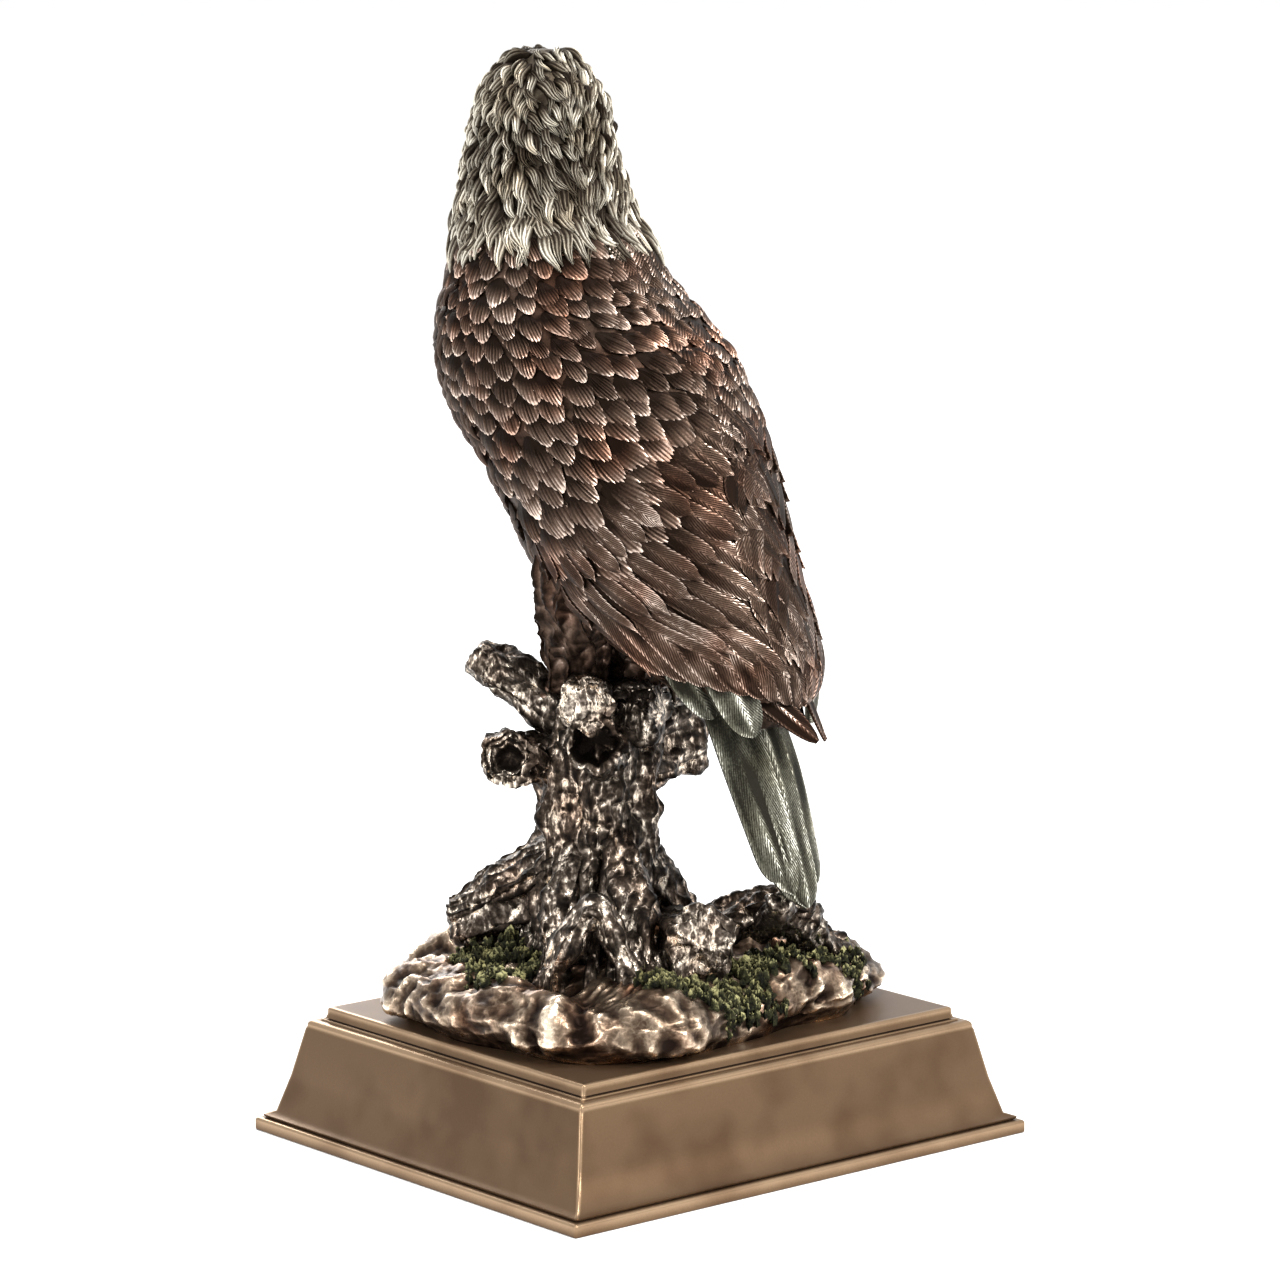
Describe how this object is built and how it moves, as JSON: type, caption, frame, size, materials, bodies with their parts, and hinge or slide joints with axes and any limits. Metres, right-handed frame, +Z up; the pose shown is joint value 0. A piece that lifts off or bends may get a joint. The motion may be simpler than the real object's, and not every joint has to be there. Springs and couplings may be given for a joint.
{
  "type": "eagle sculpture",
  "caption": "Perched eagle with folded wings and turned head on a gnarled tree stump and rocks, cast in one, on a low moulded rectangular plinth.",
  "frame": {"origin": "centre of the plinth's underside, on the surface that the sculpture stands on", "axes": "+Z up, -Y the way the eagle's body faces, +X the eagle's left; the plinth's long sides run along X"},
  "size_m": [0.2, 0.174, 0.3693],
  "materials": {
    "plinth_bronze": "satin bronze paint over cast resin, faintly mottled, brighter along the edges",
    "figure_bronze": "cold-cast bronze: dark brown patina in the hollows, rubbed copper and gold on the high points, ivory-green on head and tail, green moss on the rocks"
  },
  "bodies": {
    "root": {"plinth": "plinth_bronze", "eagle_on_stump": "figure_bronze"}
  },
  "joints": []
}
